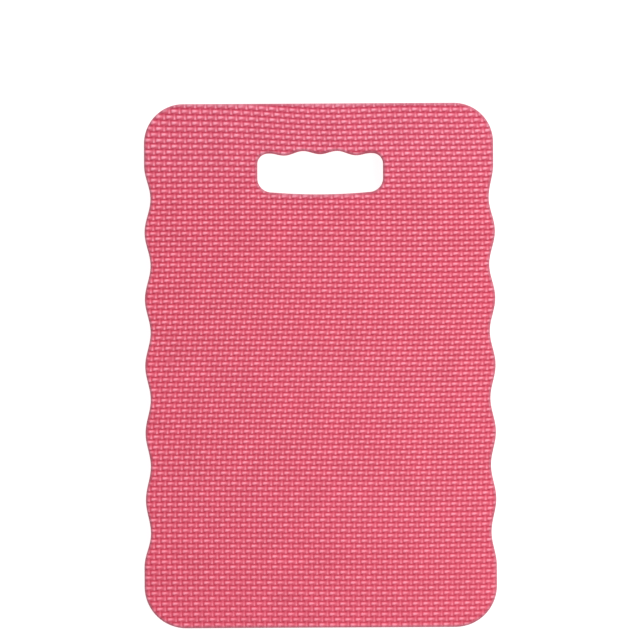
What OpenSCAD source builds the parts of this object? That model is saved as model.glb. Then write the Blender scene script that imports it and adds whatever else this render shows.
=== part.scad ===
// Kneeling pad: a firm foam slab with wavy long sides and a four-finger hand slot.
// The slab is a laminate of two foam plies with one and the same cut outline.
// It lies flat: X across, Y along with the hand slot towards +Y, Z up from the surface it lies on.

/* [Pad] */
// Length over the straight short edges
pad_length = 420; // [410:1:480]
// Width over the bulges of the wavy sides
pad_width = 280.8; // [270:0.1:300]
// Width over the end lobes beside the hand slot
handle_end_width = 279.8; // [276:0.1:292]
// Width over the end lobes at the foot end
foot_end_width = 282.4; // [276:0.1:292]
// Corner radius beside the hand slot
handle_corner_r = 31.5; // [20:0.5:36]
// Corner radius at the foot end
foot_corner_r = 33.5; // [20:0.5:40]

/* [Plies] */
// Thickness of the upper ply
top_ply_t = 10; // [5:0.5:20]
// Thickness of the lower ply
bottom_ply_t = 10; // [5:0.5:20]

/* [Wavy sides] */
// Distance from one hollow to the next
wave_pitch = 53.6; // [48:0.1:54.5]
// Number of hollows on each long side, an even number
wave_hollows = 6; // [4:2:6]
// Depth of the hollows at the handle end
handle_wave_depth = 5.1; // [1:0.1:8]
// Depth of the hollows at the foot end
foot_wave_depth = 3.6; // [1:0.1:8]
// How far the wavy middle lies to the right of the ends
middle_offset = 0.6; // [-1:0.1:1]

/* [Hand slot] */
// Length of the slot across the pad
slot_length = 100.8; // [96:0.2:106]
// Height of the slot from its lower edge to the crests of the two middle finger hollows
slot_height = 34.8; // [34:0.2:45]
// Foam left between those crests and the short edge, which is the grip
grip_depth = 38; // [30:0.1:60]
// Distance from one finger to the next
finger_pitch = 28; // [26:0.5:28]
// Height of the ridges between the fingers
finger_ridge = 2.8; // [0:0.1:5]
// Rise of the finger edge's arch, from the outer finger to the middle
finger_arch = 1.9; // [0:0.1:4]
// Sag of the lower edge, from its ends to the middle
lower_sag = 1.7; // [0:0.1:2]
// Radius of the slot's lower corners
slot_corner_r = 11.5; // [6:0.5:13]
// How far the slot lies to the right of the middle
slot_offset = 1.2; // [-2:0.1:2]

/* [Hidden] */

// Points in each wave, each corner, each finger hollow and the slot's lower edge
wave_points = 14;
corner_points = 10;
finger_points = 10;
lower_points = 12;

half_length = pad_length / 2;
waves_end = (wave_hollows - 1) / 2 * wave_pitch;
lobe_start = waves_end + wave_pitch / 2;

foam_pink = [0.88, 0.36, 0.45];
foam_pink_low = [0.80, 0.31, 0.40];

function mix(a, b, t) = a + (b - a) * t;
// From 0 to 1 and level at both ends
function ease(t) = (1 - cos(180 * t)) / 2;
// Points on an arc, n steps from angle a0 to angle a1
function arc(centre, r, a0, a1, n) =
    [for (i = [0:n]) let (a = mix(a0, a1, i / n)) centre + r * [cos(a), sin(a)]];
function mirrored(points) = [for (i = [len(points) - 1:-1:0]) [-points[i].x, points[i].y]];

// Depth of the wave at a place along the pad
function wave_depth(y) = mix(foot_wave_depth, handle_wave_depth, y / pad_length + 0.5);
// Half the width across the last hollow before an end lobe
function last_hollow(y) = pad_width / 2 - wave_depth(sign(y) * waves_end);
function lobe_width(y) = (y > 0 ? handle_end_width : foot_end_width) / 2;
// How much of the end lobe's shape applies at a place: none up to the last hollow, all at the lobe
function lobe_share(y) = ease(max(0, min(1, (abs(y) - waves_end) / (wave_pitch / 2))));
// Half the pad's width at a place along it, away from the corners
function half_width(y) =
    abs(y) <= waves_end
        ? pad_width / 2 - wave_depth(y) * (1 - cos(360 * y / wave_pitch)) / 2
        : mix(last_hollow(y), lobe_width(y), lobe_share(y));

// The right side with its two corners, from the foot end to the handle end. The wavy middle lies
// this far from where the ends would put it.
function side_points(middle) = concat(
    arc([foot_end_width / 2 - foot_corner_r, foot_corner_r - half_length],
        foot_corner_r, -90, 0, corner_points),
    [for (i = [0:wave_hollows * wave_points])
        let (y = mix(-lobe_start, lobe_start, i / (wave_hollows * wave_points)))
            [half_width(y) + middle * (1 - lobe_share(y)), y]],
    arc([handle_end_width / 2 - handle_corner_r, half_length - handle_corner_r],
        handle_corner_r, 0, 90, corner_points)
);

// The slot's lower edge is an arc, and so is the arch that the finger hollows ride on
outer_finger = 1.5 * finger_pitch;
finger_corner_r = slot_length / 2 - outer_finger;
slot_top = half_length - grip_depth;
slot_low = slot_top - slot_height;
lower_half = slot_length / 2 - slot_corner_r;
low_corner_y = slot_low + lower_sag + slot_corner_r;
// Drop of the finger edge below the middle crests: a cosine on a shallow arch
function finger_drop(x) =
    finger_arch * (pow(x, 2) - pow(finger_pitch / 2, 2)) / (pow(outer_finger, 2) - pow(finger_pitch / 2, 2))
    + finger_ridge * (1 + cos(360 * x / finger_pitch)) / 2;
finger_corner_y = slot_top - finger_drop(outer_finger) - finger_corner_r;

// The slot's outline, from the left end of its lower edge round past the fingers
function slot_points() = concat(
    [for (i = [0:lower_points - 1])
        let (x = mix(-lower_half, lower_half, i / lower_points))
            [x, slot_low + lower_sag * pow(x / lower_half, 2)]],
    arc([lower_half, low_corner_y], slot_corner_r, -90, 0, corner_points),
    arc([outer_finger, finger_corner_y], finger_corner_r, 0, 90, corner_points),
    [for (i = [1:3 * finger_points - 1])
        let (x = mix(outer_finger, -outer_finger, i / (3 * finger_points)))
            [x, slot_top - finger_drop(x)]],
    arc([-outer_finger, finger_corner_y], finger_corner_r, 90, 180, corner_points),
    arc([-lower_half, low_corner_y], slot_corner_r, 180, 270, corner_points - 1)
);

module pad_outline() polygon(concat(side_points(middle_offset), mirrored(side_points(-middle_offset))));
module hand_slot()
    translate([slot_offset, 0])
        polygon(slot_points());

module ply(thickness) {
    linear_extrude(thickness)
        difference() {
            pad_outline();
            hand_slot();
        }
}

module top_foam_ply() {
    color(foam_pink)
        translate([0, 0, bottom_ply_t])
            ply(top_ply_t);
}

module bottom_foam_ply() {
    color(foam_pink_low)
        ply(bottom_ply_t);
}

top_foam_ply();
bottom_foam_ply();
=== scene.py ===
"""The looks of a kneeling pad: a laminate of two foam plies, die-cut in one stroke with a wavy outline
and a four-finger hand slot. Each ply's outer face is embossed with a basket weave that has crept a
little out of true with the sheet, and its rim is cut straight through the weave.

Everything is in metres in the frame's own axes: X across the pad, Y along it towards the hand slot,
and Z up from the surface it lies on.
"""

import math

import bpy
import numpy as np
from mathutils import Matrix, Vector
from mathutils.geometry import delaunay_2d_cdt
from mathutils.kdtree import KDTree


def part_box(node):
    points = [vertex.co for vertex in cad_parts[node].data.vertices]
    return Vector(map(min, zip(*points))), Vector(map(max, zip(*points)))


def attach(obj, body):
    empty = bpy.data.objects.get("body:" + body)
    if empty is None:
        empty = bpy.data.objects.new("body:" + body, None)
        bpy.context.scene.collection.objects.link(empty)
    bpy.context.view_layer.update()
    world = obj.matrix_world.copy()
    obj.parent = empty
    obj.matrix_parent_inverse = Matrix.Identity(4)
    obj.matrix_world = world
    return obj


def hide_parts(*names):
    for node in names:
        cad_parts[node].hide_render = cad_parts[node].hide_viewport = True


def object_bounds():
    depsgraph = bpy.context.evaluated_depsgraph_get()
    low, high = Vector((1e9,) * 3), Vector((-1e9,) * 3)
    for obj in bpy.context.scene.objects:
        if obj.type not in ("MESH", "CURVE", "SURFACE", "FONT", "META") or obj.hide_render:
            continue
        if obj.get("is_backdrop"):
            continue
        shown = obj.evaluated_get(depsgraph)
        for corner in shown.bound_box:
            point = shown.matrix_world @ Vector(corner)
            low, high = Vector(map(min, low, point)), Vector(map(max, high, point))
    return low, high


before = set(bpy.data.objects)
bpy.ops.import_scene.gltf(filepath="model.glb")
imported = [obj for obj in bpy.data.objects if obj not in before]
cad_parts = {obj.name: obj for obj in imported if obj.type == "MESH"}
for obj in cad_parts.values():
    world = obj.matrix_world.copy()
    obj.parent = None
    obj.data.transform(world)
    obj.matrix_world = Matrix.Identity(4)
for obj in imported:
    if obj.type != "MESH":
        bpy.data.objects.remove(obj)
cad_low, cad_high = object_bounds()

MM = 0.001

# ---------------------------------------------------------------- the cut outline, as in the CAD part
PAD_LENGTH = cad_high.y - cad_low.y
FOOT_END_WIDTH = cad_high.x - cad_low.x
HANDLE_END_WIDTH = 279.8 * MM
PAD_WIDTH = 280.8 * MM
FOOT_CORNER_R = 33.5 * MM
HANDLE_CORNER_R = 31.5 * MM
WAVE_PITCH = 53.6 * MM
WAVE_HOLLOWS = 6
HANDLE_WAVE_DEPTH = 5.1 * MM
FOOT_WAVE_DEPTH = 3.6 * MM
MIDDLE_OFFSET = 0.6 * MM      # the wavy middle lies this far to the right of the ends

SLOT_LENGTH = 100.8 * MM
SLOT_HEIGHT = 34.8 * MM
GRIP_DEPTH = 38 * MM
FINGER_PITCH = 28 * MM
FINGER_RIDGE = 2.8 * MM
FINGER_ARCH = 1.9 * MM
LOWER_SAG = 1.7 * MM
SLOT_CORNER_R = 11.5 * MM
SLOT_OFFSET = 1.2 * MM        # and the slot this far

HALF_LENGTH = PAD_LENGTH / 2
WAVES_END = (WAVE_HOLLOWS - 1) / 2 * WAVE_PITCH
LOBE_START = WAVES_END + WAVE_PITCH / 2
OUTER_FINGER = 1.5 * FINGER_PITCH
FINGER_CORNER_R = SLOT_LENGTH / 2 - OUTER_FINGER
SLOT_TOP = HALF_LENGTH - GRIP_DEPTH
SLOT_LOW = SLOT_TOP - SLOT_HEIGHT
LOWER_HALF = SLOT_LENGTH / 2 - SLOT_CORNER_R
LOW_CORNER_Y = SLOT_LOW + LOWER_SAG + SLOT_CORNER_R

# Points that draw each shape before they are spaced evenly
SIDE_POINTS = 600
FINGER_POINTS = 300
LOWER_POINTS = 100
ARC_POINTS = 40
RING_STEP = 0.75 * MM     # spacing of the points round the outline

# ---------------------------------------------------------------- the cut wall and its rim
RIM_R = 1.6 * MM          # rounding that the blade leaves where the wall meets a face
RIM_STEPS = 5
RIM_SHADE_SHARE = 0.6           # how far the rim's colour goes over to the painted shade of the rounded rim, at most
WALL_DISH = 0.7 * MM      # the wall is hollow at the bond, because foam springs back after the cut
WALL_STEPS = 6
BOND_NICK = 0.25 * MM     # half the height, and the depth, of the line where the plies are bonded
BOND_GRID = 10 * MM       # spacing of points on the flat bonded faces
CUT_RELIEF = 0.4          # what a cut surface counts as, between a groove and a crest

# ---------------------------------------------------------------- the embossed weave
CELL = 4.19 * MM          # one over-or-under step of the weave, the same both ways
STEPS_PER_CELL = 6
WEAVE_SHIFT = (0.17, -0.39)   # the weave's place on the pad, in cells
CREEP_HALF_WIDTH = 140 * MM   # the sheet's creep is a formula of how far a place lies across
CREEP_HALF_LENGTH = 210 * MM  # and along these, from the middle
CREEP_ROUNDS = 8              # rounds of refining that undo the creep
LYING_START = 0.62            # where a lying strand's turn starts, in cells before its middle
STANDING_START = 0.9          # and a standing strand's
FULL_RELIEF = 1.05 * MM       # depth of the grooves where the sheet is fully embossed
FOOT_RELIEF = 0.85 * MM       # and at the foot
FOOT_FADE = 0.05              # share of the shades lost at the foot, off the palest and off the deepest
FACE_MARGIN = 0.35 * MM       # clear strip between the rim and the lattice of the weave
SLACK = 0.12 * MM             # how far the whole sheet is from flat
SCUFF = (-120 * MM, 4.5 * MM, 3 * MM)    # x, y and radius of a place where the weave is smeared
SPECK = (6.5 * MM, 189 * MM, 0.8 * MM)   # and of a dark speck in it

CELL_VARIATION = 0.07         # how much one cell's height differs from the next
VARIED_CELLS = 128            # cells each way before the variation repeats
rng = np.random.default_rng(7)
cell_heights = 1 + CELL_VARIATION * rng.uniform(-1, 1, (2, VARIED_CELLS, VARIED_CELLS))


def mix(a, b, t):
    return a + (b - a) * t


def ramp(x, start, end):
    """0 before start, 1 after end, smooth between."""
    t = np.clip((x - start) / (end - start), 0, 1)
    return t * t * (3 - 2 * t)


# ================================================================ outline
def arc(x, y, radius, start, end):
    angle = np.radians(np.linspace(start, end, ARC_POINTS))
    return np.column_stack((x + radius * np.cos(angle), y + radius * np.sin(angle)))


def side(middle):
    """The right side with its two corners: waves, this far off the middle, that ease into the end lobes."""
    y = np.linspace(-LOBE_START, LOBE_START, SIDE_POINTS)
    in_waves = np.clip(y, -WAVES_END, WAVES_END)
    depth = mix(FOOT_WAVE_DEPTH, HANDLE_WAVE_DEPTH, in_waves / PAD_LENGTH + 0.5)
    wave = (1 - np.cos(2 * np.pi * in_waves / WAVE_PITCH)) / 2
    lobe = np.where(y > 0, HANDLE_END_WIDTH, FOOT_END_WIDTH) / 2
    lobe_share = (1 - np.cos(np.pi * np.clip((np.abs(y) - WAVES_END) / (WAVE_PITCH / 2), 0, 1))) / 2
    x = mix(PAD_WIDTH / 2 - depth * wave + middle, lobe, lobe_share)
    return np.vstack((
        arc(FOOT_END_WIDTH / 2 - FOOT_CORNER_R, FOOT_CORNER_R - HALF_LENGTH, FOOT_CORNER_R, -90, 0),
        np.column_stack((x, y)),
        arc(HANDLE_END_WIDTH / 2 - HANDLE_CORNER_R, HALF_LENGTH - HANDLE_CORNER_R, HANDLE_CORNER_R, 0, 90),
    ))


def pad_outline():
    """Anticlockwise, so that the foam is on the left."""
    return np.vstack((side(MIDDLE_OFFSET), side(-MIDDLE_OFFSET)[::-1] * (-1, 1)))


def finger_drop(x):
    """How far the finger edge lies below its two middle crests: ridges on a shallow arch."""
    near = (FINGER_PITCH / 2) ** 2
    arch = FINGER_ARCH * (x ** 2 - near) / (OUTER_FINGER ** 2 - near)
    return arch + FINGER_RIDGE * (1 + np.cos(2 * np.pi * x / FINGER_PITCH)) / 2


def slot_outline():
    """Clockwise, so that the foam is on the left."""
    low_x = np.linspace(-LOWER_HALF, LOWER_HALF, LOWER_POINTS)
    finger_x = np.linspace(OUTER_FINGER, -OUTER_FINGER, FINGER_POINTS)
    corner_y = SLOT_TOP - finger_drop(OUTER_FINGER) - FINGER_CORNER_R
    loop = np.vstack((
        np.column_stack((low_x, SLOT_LOW + LOWER_SAG * (low_x / LOWER_HALF) ** 2)),
        arc(LOWER_HALF, LOW_CORNER_Y, SLOT_CORNER_R, -90, 0),
        arc(OUTER_FINGER, corner_y, FINGER_CORNER_R, 0, 90),
        np.column_stack((finger_x, SLOT_TOP - finger_drop(finger_x))),
        arc(-OUTER_FINGER, corner_y, FINGER_CORNER_R, 90, 180),
        arc(-LOWER_HALF, LOW_CORNER_Y, SLOT_CORNER_R, 180, 270),
    ))
    return loop[::-1] + (SLOT_OFFSET, 0)


class Ring:
    """A closed loop of evenly spaced points, with the direction out of the foam at each."""

    def __init__(self, points):
        closed = np.vstack((points, points[:1]))
        run = np.concatenate(([0], np.cumsum(np.linalg.norm(np.diff(closed, axis=0), axis=1))))
        count = round(run[-1] / RING_STEP)
        at = np.arange(count) * run[-1] / count
        self.points = np.column_stack([np.interp(at, run, closed[:, k]) for k in (0, 1)])
        ahead = np.roll(self.points, -1, axis=0) - np.roll(self.points, 1, axis=0)
        ahead /= np.linalg.norm(ahead, axis=1)[:, None]
        self.out = np.column_stack((ahead[:, 1], -ahead[:, 0]))

    def inset(self, distance):
        return self.points - self.out * distance


def cut_rings(up):
    """The pad's outline and the slot's, mirrored for a ply that will be turned over."""
    outlines = (pad_outline(), slot_outline())
    if up == -1:
        outlines = [outline[::-1] * (-1, 1) for outline in outlines]
    return [Ring(outline) for outline in outlines]


def depth_inside(rings, points):
    """How far each point lies inside the cut edge, negative outside it."""
    edge = np.vstack([ring.points for ring in rings])
    out = np.vstack([ring.out for ring in rings])
    tree = KDTree(len(edge))
    for i, (x, y) in enumerate(edge):
        tree.insert((x, y, 0), i)
    tree.balance()
    nearest = np.array([tree.find((x, y, 0))[1] for x, y in points])
    return -np.sum((points - edge[nearest]) * out[nearest], axis=1)


# ================================================================ weave
def stretch(u, v):
    """How far the sheet has crept at the weave's own (u, v), in metres: to the right towards the handle end
    and to the left at the foot, closer together along the pad, and round the hand slot. The formula is in
    millimetres."""
    across, along = u / CREEP_HALF_WIDTH, v / CREEP_HALF_LENGTH
    lean = 7.4 * np.tanh(2.2 * along + 0.05) + 0.12
    fan = 0.6 * across - 0.7 * across ** 2 - across * along * (1.3 + along - 1.8 * along ** 2)
    tilt = across * (0.33 * across - 0.85 + 0.9 * across ** 2) - 0.1
    crowding = along * (1 - 0.5 * along - 1.1 * along ** 2)
    beside_slot = np.clip((along - 0.43) / 0.52, 0, 1.2) ** 2
    above_slot = np.clip((along - 0.57) / 0.38, 0, 1.2) ** 2
    arch = 1.4 - 1.95 * across + 3.4 * across ** 2 + 0.75 * np.cos(6.5 * across - 2.9)
    x = lean + fan - 3.1 * (1 + across) * beside_slot
    y = tilt - crowding + arch * above_slot
    return x * MM, y * MM


def weave_place(x, y):
    """The weave's own (u, v) at a place on the pad, in metres."""
    u, v = x, y
    for _ in range(CREEP_ROUNDS):
        dx, dy = stretch(u, v)
        u, v = x - dx, y - dy
    return u, v


def barrel(x, half):
    """A strand's rounded section, 1 in the middle and 0 at half either side."""
    return np.clip(1 - np.abs(x / half) ** 3, 0, 1) ** 0.6


def lying_strand(a, b, dip):
    """A long pillow lying across: it starts abruptly, and dips and thins to the right under its neighbour."""
    along = ramp(a, -0.60, -0.40) * (1 - dip * ramp(a, 0.02, 0.87)) * (1 - ramp(a, 0.87, 1.1))
    return along * barrel(b + 0.07 * a, 0.297 - 0.09 * a)


def standing_strand(a, b, low, high):
    """A short strand lying along the pad: it rises from low, under a pillow, to high and ends abruptly."""
    along = mix(low, high, ramp(b, -0.60, 0.35)) * ramp(b, -0.85, -0.6) * (1 - ramp(b, 0.37, 0.52))
    return along * barrel(a - 0.03 * b, 0.268)


def webbing(a, b, v):
    """The skin between strands, which is shallow to the left of a pillow and higher at its right end."""
    shallow = 0.14 + 0.12 * ramp(v, 120 * MM, 180 * MM)
    return mix(shallow, 0.50, ramp(a, 0.2, 0.55) * (1 - ramp(a, 0.9, 1.2))) * barrel(b - 0.1, 0.42)


def varied(kind, row, column):
    """The height of one strand, of kind 0 for lying ones and 1 for standing ones."""
    row, column = (np.round(n).astype(int) % VARIED_CELLS for n in (row, column))
    return cell_heights[kind, row, column]


def fullness(y):
    """How fully the sheet is embossed, from 0 at the foot to 1 at the handle end."""
    return np.clip(y / PAD_LENGTH + 0.5, 0, 1)


def weave_height(u, v):
    """From 0 at the bottom of a groove to about 1 on a crest. From a strand's middle, in cells, a is to the
    right and b down."""
    full = fullness(v)
    across = u / CELL + WEAVE_SHIFT[0]
    up = v / CELL + WEAVE_SHIFT[1]
    row, column = np.round(up), np.round(across)

    a, b = (across - row + LYING_START) % 2 - LYING_START, row - up
    lying = lying_strand(a, b, mix(0.60, 0.55, full)) * varied(0, row, across - a)
    web = webbing(a, b, v)

    b = (column + 1 - up + STANDING_START) % 2 - STANDING_START
    low, high = mix(0.35, 0.22, full), mix(0.84, 1, ramp(v, -230 * MM, -60 * MM))
    # Standing strands lie a little to the right of their columns
    offset = mix(0.076, 0.098, ramp(v, -210 * MM, 30 * MM)) + 0.016 * u / CREEP_HALF_WIDTH
    standing = standing_strand(across - column - offset, b, low, high) * varied(1, up + b, column)
    return (lying ** 6 + standing ** 6 + web ** 6 + 1e-12) ** (1 / 6)


def sag(x, y):
    """The sheet's slow unevenness."""
    waves = ((31, 17, 0.3), (-22, 29, 1.9), (12, -41, 4.0))
    return SLACK / len(waves) * sum(np.sin(p * x + q * y + phase) for p, q, phase in waves)


def spot(x, y, blemish):
    """1 in the middle of a blemish, fading to 0 outside it."""
    middle_x, middle_y, radius = blemish
    return np.exp(-(((x - middle_x) ** 2 + (y - middle_y) ** 2) / radius ** 2) ** 2)


def face(x, y, u, v):
    """How far the embossed face lies below its highest crests, and its shade from 0 in a groove to 1, which
    paints shade into the grooves' colour and a sheen onto the crests'.
    """
    height = mix(weave_height(u, v), 0.45, 0.75 * spot(x, y, SCUFF))
    full = fullness(y)
    drop = mix(FOOT_RELIEF, FULL_RELIEF, full) * (1.05 - height) + SLACK + sag(x, y)
    fade = FOOT_FADE * (1 - full) ** 2
    return drop, mix(fade, 1 - fade, height) * (1 - spot(x, y, SPECK))


# ================================================================ mesh
SKIN, CUT = 0, 1              # the order of the two materials on a ply


class Build:
    """Collects points and faces. Each point carries its height in the weave, which paints shade into the
    grooves and a sheen onto the crests, and how much it takes the painted shade of the rounded rim of the
    cut."""

    def __init__(self):
        self.points, self.relief, self.lip, self.faces, self.materials = [], [], [], [], []
        self.count = 0

    def add(self, xy, w, relief, lip=0):
        """Adds points at height w above the bond, and returns their numbers."""
        numbers = np.arange(self.count, self.count + len(xy))
        self.points.append(np.column_stack((xy, np.broadcast_to(w, len(xy)))))
        self.relief.append(np.broadcast_to(relief, len(xy)))
        self.lip.append(np.broadcast_to(lip, len(xy)))
        self.count += len(xy)
        return numbers

    def face(self, corners, material):
        """Adds faces, one row of corner numbers each."""
        self.faces.append(corners)
        self.materials.append(np.full(len(corners), material))

    def band(self, low, high, material):
        """Joins two rings of as many points, the foam on the left of each."""
        self.face(np.column_stack((low, np.roll(low, -1), np.roll(high, -1), high)), material)

    def mesh(self, name, bond, up):
        """up is 1 for a ply that faces up and -1 for one that faces down."""
        points = np.vstack(self.points) * (up, 1, up) + (0, 0, bond)
        sizes = np.concatenate([np.full(len(rows), rows.shape[1]) for rows in self.faces])
        corners = np.concatenate([rows.ravel() for rows in self.faces])
        mesh = bpy.data.meshes.new(name)
        mesh.vertices.add(len(points))
        mesh.vertices.foreach_set("co", points.ravel().astype(np.float32))
        mesh.loops.add(len(corners))
        mesh.loops.foreach_set("vertex_index", corners.astype(np.int32))
        mesh.polygons.add(len(sizes))
        mesh.polygons.foreach_set("loop_start", (np.cumsum(sizes) - sizes).astype(np.int32))
        mesh.polygons.foreach_set("material_index", np.concatenate(self.materials).astype(np.int32))
        mesh.update(calc_edges=True)
        for quality, values in (("relief", self.relief), ("lip", self.lip)):
            attribute = mesh.attributes.new(quality, "FLOAT", "POINT")
            attribute.data.foreach_set("value", np.concatenate(values).astype(np.float32))
        mesh.shade_smooth()
        return mesh


def fill(points, edges):
    """Triangles that fill the region on the left of the edges: pairs (start, end) that form closed loops."""
    _, _, triangles, came_from, _, _ = delaunay_2d_cdt((points / MM).tolist(), edges, [], 0, 1e-6)
    names = [came[0] for came in came_from]
    triangles = [[names[i] for i in triangle] for triangle in triangles]
    owner = {}
    for k, triangle in enumerate(triangles):
        for i in range(3):
            owner[triangle[i], triangle[(i + 1) % 3]] = k
    walls = set(edges) | {(end, start) for start, end in edges}
    waiting = [owner[edge] for edge in edges]
    kept = set(waiting)
    while waiting:
        triangle = triangles[waiting.pop()]
        for i in range(3):
            edge = (triangle[i], triangle[(i + 1) % 3])
            if edge in walls:
                continue
            beside = owner[edge[::-1]]
            if beside not in kept:
                kept.add(beside)
                waiting.append(beside)
    return np.array([triangles[k] for k in sorted(kept)])


def whole_squares(keep):
    """Squares of a lattice whose four corners are all kept, as rows of corner numbers."""
    number = np.arange(keep.size).reshape(keep.shape)
    whole = keep[:-1, :-1] & keep[1:, :-1] & keep[1:, 1:] & keep[:-1, 1:]
    corners = np.stack((number[:-1, :-1], number[1:, :-1], number[1:, 1:], number[:-1, 1:]), axis=-1)
    return corners[whole]


def free_edges(squares):
    """Edges of the squares that only one square has, each with its square on the left."""
    starts, ends = squares.ravel(), np.roll(squares, -1, axis=1).ravel()
    top = squares.max() + 1
    alone = ~np.isin(starts * top + ends, ends * top + starts)
    return np.column_stack((starts[alone], ends[alone]))


def lattice(step):
    """A square grid of places that reaches a little past the pad, as a 2-D array of x and one of y."""
    half = np.array((FOOT_END_WIDTH, PAD_LENGTH)) / 2 + 4 * CELL
    counts = np.ceil(half / step).astype(int)
    return np.meshgrid(*(np.arange(-n, n + 1) * step for n in counts), indexing="ij")


def cover(build, rings, margin, loops, x, y, w, relief, material, turned=False):
    """Fills a face: whole lattice squares where x and y lie deeper than margin inside the rings, and
    triangles from them out to the loops, each its points and their numbers. turned makes it face down."""
    places = np.column_stack((x.ravel(), y.ravel()))
    keep = depth_inside(rings, places) > margin
    squares = whole_squares(keep.reshape(x.shape))
    free = free_edges(squares)
    used = np.flatnonzero(keep)
    numbers = np.full(keep.size, -1)
    w, relief = (np.broadcast_to(value, x.shape).ravel() for value in (w, relief))
    numbers[used] = build.add(places[used], w[used], relief[used])

    # Kept points that no whole square uses, and the corners of the free edges, are joined to the loops
    strip = np.union1d(np.setdiff1d(used, squares), free)
    order = np.full(keep.size, -1)
    order[strip] = np.arange(len(strip))
    edges = [order[free[:, ::-1]]]
    start = len(strip)
    for points, _ in loops:
        around = np.arange(start, start + len(points))
        edges.append(np.column_stack((around, np.roll(around, -1))))
        start += len(points)
    edges = [tuple(edge) for edge in np.vstack(edges).tolist()]
    triangles = fill(np.vstack((places[strip], *(points for points, _ in loops))), edges)
    names = np.concatenate((numbers[strip], *(loop_numbers for _, loop_numbers in loops)))
    for corners in (numbers[squares], names[triangles]):
        build.face(corners[:, ::-1] if turned else corners, material)


# ================================================================ a ply
def wall_and_rim(build, ring, thickness):
    """The cut wall, from the nick at the bond up to the rounded rim. It returns its lowest loop and its
    highest one, each as points and their numbers."""
    crest = ring.inset(RIM_R)
    drop, relief = face(*crest.T, *weave_place(*crest.T))
    wall_top = thickness - drop - RIM_R
    foot = ring.inset(WALL_DISH + BOND_NICK)
    foot_numbers = level = build.add(foot, 0, CUT_RELIEF)
    for t in np.linspace(0, 1, WALL_STEPS + 1)[:-1]:
        below = level
        level = build.add(ring.inset(WALL_DISH * (1 - t ** 2)), mix(BOND_NICK, wall_top, t), CUT_RELIEF)
        build.band(below, level, CUT)
    # The rounded rim takes a share of a painted shade, most of it partway round
    for turn in np.linspace(0, math.pi / 2, RIM_STEPS + 1):
        below = level
        level = build.add(ring.inset(RIM_R * (1 - math.cos(turn))), wall_top + RIM_R * math.sin(turn),
                          mix(CUT_RELIEF, relief, math.sin(turn)), lip=RIM_SHADE_SHARE * math.sin(1.6 * turn))
        build.band(below, level, SKIN if turn else CUT)
    return (foot, foot_numbers), (crest, level)


def embossed_face(build, rings, crests, thickness):
    u, v = lattice(CELL / STEPS_PER_CELL)
    dx, dy = stretch(u, v)
    drop, relief = face(u + dx, v + dy, u, v)
    cover(build, rings, RIM_R + FACE_MARGIN, crests, u + dx, v + dy, thickness - drop, relief, SKIN)


def bonded_face(build, rings, feet):
    x, y = lattice(BOND_GRID)
    cover(build, rings, BOND_GRID / 4, feet, x, y, 0, CUT_RELIEF, CUT, turned=True)


def ply(name, thickness, bond, up):
    """One ply, built facing up from its bonded face, then turned over if it faces down."""
    build = Build()
    rings = cut_rings(up)
    feet, crests = zip(*(wall_and_rim(build, ring, thickness) for ring in rings))
    embossed_face(build, rings, crests, thickness)
    bonded_face(build, rings, feet)
    piece = bpy.data.objects.new(name, build.mesh(name, bond, up))
    bpy.context.scene.collection.objects.link(piece)
    return piece


# ================================================================ materials
PORE_SCALE = 2200             # a little under half a millimetre from one pore or foam cell to the next
PORE_DEPTH = 0.05 * MM
CUT_CELL_DEPTH = 0.12 * MM
GROOVE_ROUGHNESS = 0.70
CREST_ROUGHNESS = 0.42
CUT_ROUGHNESS = 0.85

# Colours by height in the weave, from the deepest groove to the highest crest: painted shade that darkens the
# grooves and a painted sheen that pales the crests
SKIN_SHADE_AND_SHEEN_COLOURS = (
    (0.05, (0.500, 0.015, 0.057)),
    (0.45, (0.650, 0.075, 0.132)),
    (0.80, (0.800, 0.172, 0.250)),
    (1.00, (0.900, 0.278, 0.374)),
)
# And by distance from the middle of a cut foam cell, darker in its middle: painted shade in the open pit of
# each cell
CUT_COLOURS_AND_PIT_SHADE = (
    (0.0, (0.550, 0.075, 0.125)),
    (0.6, (0.740, 0.150, 0.215)),
)
NOISE_SPAN = (0.3, 0.7)       # most of a noise lies between these
# Painted shade on the rounded rim of the cut, duller and greyer than the skin
RIM_SHADE_COLOUR = (0.37, 0.125, 0.168, 1)
HANDLE_SHEEN_TINT = (0.99, 1.13, 1.13, 1)      # multiplies the skin's colour at the handle end, a painted sheen that makes it paler and greyer


def new_material(name):
    material = bpy.data.materials.new(name)
    material.use_nodes = True
    nodes = material.node_tree.nodes
    return material, nodes, material.node_tree.links, nodes["Principled BSDF"]


def noise(nodes, links, place, scale, detail, roughness):
    node = nodes.new("ShaderNodeTexNoise")
    node.inputs["Scale"].default_value = scale
    node.inputs["Detail"].default_value = detail
    node.inputs["Roughness"].default_value = roughness
    links.new(place, node.inputs["Vector"])
    return node.outputs["Fac"]


def attribute(nodes, name):
    node = nodes.new("ShaderNodeAttribute")
    node.attribute_name = name
    return node.outputs["Fac"]


def math_node(nodes, links, operation, *values):
    """A Math node whose inputs are numbers or links."""
    node = nodes.new("ShaderNodeMath")
    node.operation = operation
    for socket, value in zip(node.inputs, values):
        if isinstance(value, (int, float)):
            socket.default_value = value
        else:
            links.new(value, socket)
    return node.outputs[0]


def map_range(nodes, links, value, start, end, low, high, interpolation="LINEAR"):
    """Low at start and high at end."""
    node = nodes.new("ShaderNodeMapRange")
    node.interpolation_type = interpolation
    for socket, number in zip(("From Min", "From Max", "To Min", "To Max"), (start, end, low, high)):
        node.inputs[socket].default_value = number
    links.new(value, node.inputs["Value"])
    return node.outputs["Result"]


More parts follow.
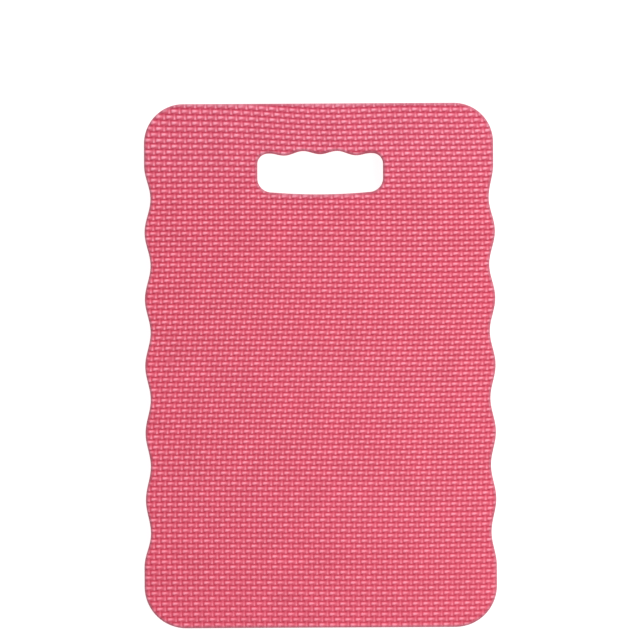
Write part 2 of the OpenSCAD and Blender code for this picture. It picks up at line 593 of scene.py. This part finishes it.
def colour_ramp(nodes, links, factor, stops):
    node = nodes.new("ShaderNodeValToRGB")
    elements = node.color_ramp.elements
    while len(elements) < len(stops):
        elements.new(0.5)
    for element, (place, colour) in zip(elements, stops):
        element.position = place
        element.color = (*colour, 1)
    links.new(factor, node.inputs["Fac"])
    return node.outputs["Color"]


def blend_to(nodes, links, factor, first, second, blend_type="MIX"):
    """From the first colour, a link, to the second, a constant, by the factor."""
    node = nodes.new("ShaderNodeMix")
    node.data_type = "RGBA"
    node.blend_type = blend_type
    node.inputs["B"].default_value = second
    links.new(factor, node.inputs["Factor"])
    links.new(first, node.inputs["A"])
    return node.outputs["Result"]


def tint(nodes, links, colour, factor, low, high):
    """Multiplies a colour by a grey between low and high, by a noise."""
    node = nodes.new("ShaderNodeVectorMath")
    node.operation = "SCALE"
    links.new(colour, node.inputs[0])
    links.new(map_range(nodes, links, factor, *NOISE_SPAN, low, high), node.inputs["Scale"])
    return node.outputs["Vector"]


def bump(nodes, links, bsdf, height, distance):
    node = nodes.new("ShaderNodeBump")
    node.inputs["Distance"].default_value = distance
    links.new(height, node.inputs["Height"])
    links.new(node.outputs["Normal"], bsdf.inputs["Normal"])


def painted_handle_sheen(nodes, links, place, colour):
    """The skin is a little paler and greyer at the handle end: a painted sheen."""
    parts = nodes.new("ShaderNodeSeparateXYZ")
    links.new(place, parts.inputs["Vector"])
    share = map_range(nodes, links, parts.outputs["Y"], 100 * MM, 190 * MM, 0, 1, "SMOOTHSTEP")
    return blend_to(nodes, links, share, colour, HANDLE_SHEEN_TINT, "MULTIPLY")


def skin_material(name):
    """Embossed foam skin: matt in the grooves and satin on the crests. Its colour holds painted shade that
    makes the grooves deep red, a painted sheen that makes the crests pale, and painted shade that makes the
    rounded rim of the cut duller and greyer."""
    material, nodes, links, bsdf = new_material(name)
    place = nodes.new("ShaderNodeTexCoord").outputs["Object"]
    pores = noise(nodes, links, place, scale=PORE_SCALE, detail=2, roughness=0.6)
    blotches = noise(nodes, links, place, scale=55, detail=3, roughness=0.55)
    # The pores darken the colour where their bump is low: painted shade in the pores
    painted_pore_shade = math_node(nodes, links, "MULTIPLY_ADD", pores, 0.10, -0.05)
    shade = math_node(nodes, links, "ADD", attribute(nodes, "relief"), painted_pore_shade)
    # Painted shade in the grooves and a painted sheen on the crests
    colour = colour_ramp(nodes, links, shade, SKIN_SHADE_AND_SHEEN_COLOURS)
    colour = painted_handle_sheen(nodes, links, place, colour)
    # Painted shade on the rounded rim of the cut
    colour = blend_to(nodes, links, attribute(nodes, "lip"), colour, RIM_SHADE_COLOUR)
    colour = tint(nodes, links, colour, blotches, 0.96, 1.04)
    links.new(colour, bsdf.inputs["Base Color"])
    roughness = map_range(nodes, links, shade, 0, 1, GROOVE_ROUGHNESS, CREST_ROUGHNESS)
    links.new(roughness, bsdf.inputs["Roughness"])
    bump(nodes, links, bsdf, pores, PORE_DEPTH)
    return material


def cut_material(name):
    """Die-cut foam: matt, with fine open cells, painted shade in their pits, and faint streaks from the
    blade.
    """
    material, nodes, links, bsdf = new_material(name)
    place = nodes.new("ShaderNodeTexCoord").outputs["Object"]
    cells = nodes.new("ShaderNodeTexVoronoi")
    cells.inputs["Scale"].default_value = PORE_SCALE
    links.new(place, cells.inputs["Vector"])
    stretched = nodes.new("ShaderNodeMapping")
    stretched.inputs["Scale"].default_value = (1, 1, 0.06)
    links.new(place, stretched.inputs["Vector"])
    streaks = noise(nodes, links, stretched.outputs["Vector"], scale=900, detail=3, roughness=0.6)
    blotches = noise(nodes, links, place, scale=120, detail=3, roughness=0.55)
    # Painted shade in the middle of each open cell
    colour = colour_ramp(nodes, links, cells.outputs["Distance"], CUT_COLOURS_AND_PIT_SHADE)
    colour = tint(nodes, links, colour, streaks, 0.92, 1.07)
    colour = tint(nodes, links, colour, blotches, 0.95, 1.05)
    links.new(colour, bsdf.inputs["Base Color"])
    bsdf.inputs["Roughness"].default_value = CUT_ROUGHNESS
    height = math_node(nodes, links, "MULTIPLY_ADD", streaks, 0.8, cells.outputs["Distance"])
    bump(nodes, links, bsdf, height, CUT_CELL_DEPTH)
    return material


# ================================================================ the pad
cut = cut_material("cut_foam")
skin = skin_material("embossed_foam")
for node, name, slot in (("top_foam_ply", "upper_foam_ply", "top_foam"),
                         ("bottom_foam_ply", "lower_foam_ply", "bottom_foam")):
    low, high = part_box(node)
    up = 1 if node == "top_foam_ply" else -1
    bond = low.z if up == 1 else high.z
    piece = ply(name, high.z - low.z, bond, up)
    piece.data.materials.append(skin)
    piece.data.materials.append(cut)
    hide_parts(node)
    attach(piece, "root")


# ================================================================ floor, light, camera
FLOOR_GAP = 0.2 * MM
SWEEP_FLAT = 10.0         # metres from the middle to where the floor starts to curve up
SWEEP_BEND = 3.0
SWEEP_SIDES = 96
SWEEP_LEVELS = 12
FLOOR_SHADE = 0.30        # the floor glows as well, so that it stays white and the pad casts no shadow
FLOOR_GLOW = 0.90
SKY_GLOW = 0.45

VIEW_WIDTH = 509.4 * MM       # width that the view takes in at the pad's top
CAMERA_HEIGHT = 9.0
CAMERA_AIM = (-1.15 * MM, 38.1 * MM)   # the pad lies low in the view
CAMERA_ROLL = -0.0052

pad_top = cad_high.z


def softbox(name, place, size, power):
    """A round lamp at place, aimed at the middle of the pad."""
    data = bpy.data.lights.new(name, "AREA")
    data.shape = "DISK"
    data.size = size
    data.energy = power
    lamp = bpy.data.objects.new(name, data)
    bpy.context.scene.collection.objects.link(lamp)
    lamp.location = place
    lamp.rotation_euler = (Vector((0, 0, pad_top)) - Vector(place)).to_track_quat("-Z", "Y").to_euler()
    lamp.visible_camera = False


def floor():
    """A round sweep: flat under the pad, and curving up far off so that no horizon shows."""
    turn = np.linspace(0, 2 * np.pi, SWEEP_SIDES, endpoint=False)
    points, faces = [], [tuple(range(SWEEP_SIDES))]
    for level, rise in enumerate(np.linspace(0, np.pi / 2, SWEEP_LEVELS)):
        radius = SWEEP_FLAT + SWEEP_BEND * math.sin(rise)
        z = cad_low.z - FLOOR_GAP + SWEEP_BEND * (1 - math.cos(rise))
        points += [(radius * math.cos(t), radius * math.sin(t), z) for t in turn]
        below = (level - 1) * SWEEP_SIDES
        for i in range(SWEEP_SIDES if level else 0):
            j = (i + 1) % SWEEP_SIDES
            faces.append((below + i, below + SWEEP_SIDES + i, below + SWEEP_SIDES + j, below + j))
    mesh = bpy.data.meshes.new("floor")
    mesh.from_pydata(points, [], faces)
    mesh.shade_smooth()
    plane = bpy.data.objects.new("floor", mesh)
    bpy.context.scene.collection.objects.link(plane)
    material, _, _, bsdf = new_material("pale_floor")
    bsdf.inputs["Base Color"].default_value = (FLOOR_SHADE, FLOOR_SHADE, FLOOR_SHADE, 1)
    bsdf.inputs["Roughness"].default_value = 0.9
    bsdf.inputs["Specular IOR Level"].default_value = 0.0
    bsdf.inputs["Emission Color"].default_value = (1, 1, 1, 1)
    bsdf.inputs["Emission Strength"].default_value = FLOOR_GLOW
    mesh.materials.append(material)
    plane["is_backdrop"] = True


def sky():
    world = bpy.data.worlds.new("studio")
    bpy.context.scene.world = world
    world.use_nodes = True
    background = world.node_tree.nodes["Background"]
    background.inputs["Color"].default_value = (1, 1, 1, 1)
    background.inputs["Strength"].default_value = SKY_GLOW


def camera():
    """Straight above, aimed a little past the pad's middle."""
    data = bpy.data.cameras.new("camera")
    data.angle = 2 * math.atan(VIEW_WIDTH / 2 / (CAMERA_HEIGHT - pad_top))
    data.clip_end = 200
    body = bpy.data.objects.new("camera", data)
    bpy.context.scene.collection.objects.link(body)
    body.location = (*CAMERA_AIM, CAMERA_HEIGHT)
    body.rotation_euler = (0, 0, CAMERA_ROLL)
    bpy.context.scene.camera = body


floor()
sky()
softbox("overhead", place=(0.8, -0.3, 1.2), size=0.8, power=8.2)
softbox("key", place=(1.6, 4.6, 3.6), size=2.8, power=240)
camera()
bpy.context.scene.view_settings.view_transform = "Standard"

low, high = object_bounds()
